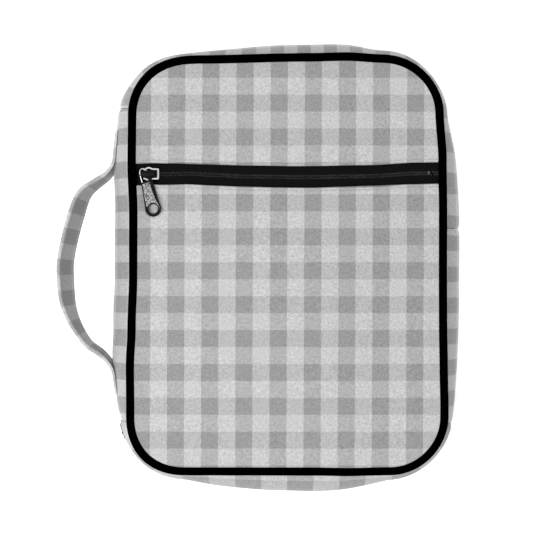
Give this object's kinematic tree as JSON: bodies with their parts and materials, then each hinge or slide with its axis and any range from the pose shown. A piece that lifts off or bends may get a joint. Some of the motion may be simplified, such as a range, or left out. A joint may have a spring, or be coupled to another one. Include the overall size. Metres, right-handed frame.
{
  "type": "zipped bible bag",
  "caption": "Soft zipped bible bag in gingham cloth with black piping, a gusset that opens with a zip, a zipped front pocket and a strap handle on the spine.",
  "frame": {"origin": "middle of the back panel's outer face, on the surface the bag lies on", "axes": "+X to the right and +Y up the cover as its front is read, +Z out of the front panel"},
  "size_m": [0.2502, 0.2791, 0.0621],
  "materials": {
    "gingham_front": "woven grey gingham, light, medium and dark checks",
    "gingham_back": "woven grey gingham, light, medium and dark checks",
    "gingham_gusset": "woven grey gingham, light, medium and dark checks",
    "gingham_spine": "woven grey gingham, light, medium and dark checks",
    "gingham_handle": "folded grey gingham strap, topstitched",
    "piping": "smooth black corded piping",
    "zip_tape": "black woven zip tape",
    "zip_coil": "black nylon coil",
    "zip_metal": "plated die-cast zip metal, black on the bridge and edges"
  },
  "bodies": {
    "root": {"front_panel_top": "gingham_front", "front_pocket": "gingham_front", "back_panel": "gingham_back", "gusset_front_top": "gingham_gusset", "gusset_front_right": "gingham_gusset", "gusset_front_bottom": "gingham_gusset", "gusset_back_top": "gingham_gusset", "gusset_back_right": "gingham_gusset", "gusset_back_bottom": "gingham_gusset", "spine": "gingham_spine", "handle": "gingham_handle", "front_piping": "piping", "back_piping": "piping", "main_zip_tape_front": "zip_tape", "main_zip_tape_back": "zip_tape", "pocket_zip_tape_upper": "zip_tape", "pocket_zip_tape_lower": "zip_tape", "main_zip_coil": "zip_coil", "pocket_zip_coil": "zip_coil", "main_zip_slider": "zip_metal", "main_zip_pull": "zip_metal", "pocket_zip_slider": "zip_metal", "pocket_zip_pull": "zip_metal"}
  },
  "joints": []
}
